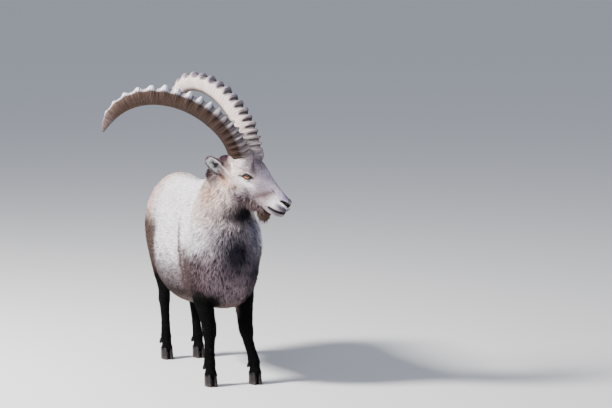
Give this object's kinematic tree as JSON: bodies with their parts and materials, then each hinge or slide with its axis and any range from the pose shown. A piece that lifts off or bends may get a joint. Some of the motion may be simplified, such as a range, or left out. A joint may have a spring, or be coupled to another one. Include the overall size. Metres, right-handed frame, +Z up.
{
  "type": "alpine ibex model",
  "caption": "Still, life-size model of an adult male alpine ibex standing with its head turned to its left and long ridged horns swept back",
  "frame": {"origin": "centre of the bottom of the bounding box, at the level of the floor under the hooves", "axes": "+Z up, the body faces -Y and the animal's left side is +X; the head is turned towards +X"},
  "size_m": [0.7058, 1.1972, 1.2479],
  "materials": {
    "head": "short matt hair, grey brown",
    "neck": "matt hair, pale beige grey",
    "torso": "matt hair, silvery grey",
    "tail": "matt hair, dark brown",
    "ear": "short matt hair, brown grey",
    "leg": "short matt hair, brown black",
    "eye": "polished, amber iris",
    "horn": "ridged horn, matt brown grey",
    "hoof": "smooth horn, nearly black"
  },
  "bodies": {
    "root": {"head": "head", "neck": "neck", "torso": "torso", "tail": "tail", "ear_left": "ear", "eye_left": "eye", "horn_left": "horn", "foreleg_left_upper": "leg", "foreleg_left_lower": "leg", "claw_foreleg_left_inner": "hoof", "dewclaw_foreleg_left_inner": "hoof", "claw_foreleg_left_outer": "hoof", "dewclaw_foreleg_left_outer": "hoof", "hindleg_left_upper": "leg", "hindleg_left_lower": "leg", "claw_hindleg_left_inner": "hoof", "dewclaw_hindleg_left_inner": "hoof", "claw_hindleg_left_outer": "hoof", "dewclaw_hindleg_left_outer": "hoof", "ear_right": "ear", "eye_right": "eye", "horn_right": "horn", "foreleg_right_upper": "leg", "foreleg_right_lower": "leg", "claw_foreleg_right_inner": "hoof", "dewclaw_foreleg_right_inner": "hoof", "claw_foreleg_right_outer": "hoof", "dewclaw_foreleg_right_outer": "hoof", "hindleg_right_upper": "leg", "hindleg_right_lower": "leg", "claw_hindleg_right_inner": "hoof", "dewclaw_hindleg_right_inner": "hoof", "claw_hindleg_right_outer": "hoof", "dewclaw_hindleg_right_outer": "hoof"}
  },
  "joints": []
}
